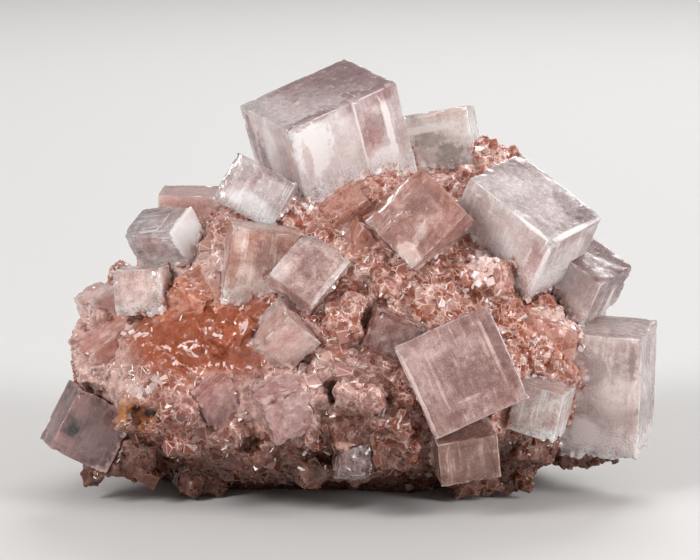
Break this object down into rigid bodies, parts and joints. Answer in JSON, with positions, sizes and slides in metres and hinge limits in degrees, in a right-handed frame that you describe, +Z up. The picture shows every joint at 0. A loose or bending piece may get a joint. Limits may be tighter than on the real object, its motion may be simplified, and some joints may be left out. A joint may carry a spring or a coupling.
{
  "type": "halite crystal cluster",
  "caption": "Free-standing cluster of see-through pink halite cubes on a lumpy, sugary halite matrix with a flat base.",
  "frame": {"origin": "at the level of the flat base, under the middle of the whole cluster's box", "axes": "+X to the viewer's right along the cluster's length, -Y to the front where the largest clear faces look, +Z up"},
  "size_m": [0.1192, 0.0788, 0.0827],
  "materials": {
    "clear_pink_halite": "clear to frosted pink crystal with white edges",
    "milky_pink_halite": "cloudy crystal with a clear pink rim",
    "mauve_pink_halite": "clear mauve pink crystal",
    "red_pink_halite": "clear red pink crystal",
    "matrix_halite": "chunky see-through orange pink grains, brownish grey below"
  },
  "bodies": {
    "root": {"crown_crystal": "clear_pink_halite", "right_crystal_group": "clear_pink_halite", "shoulder_crystal": "clear_pink_halite", "left_crystal": "clear_pink_halite", "back_crystal": "milky_pink_halite", "left_low_crystal": "milky_pink_halite", "front_crystal_group": "mauve_pink_halite", "left_back_crystal": "mauve_pink_halite", "foot_crystal": "mauve_pink_halite", "centre_crystal": "red_pink_halite", "left_centre_pair": "red_pink_halite", "matrix": "matrix_halite"}
  },
  "joints": []
}
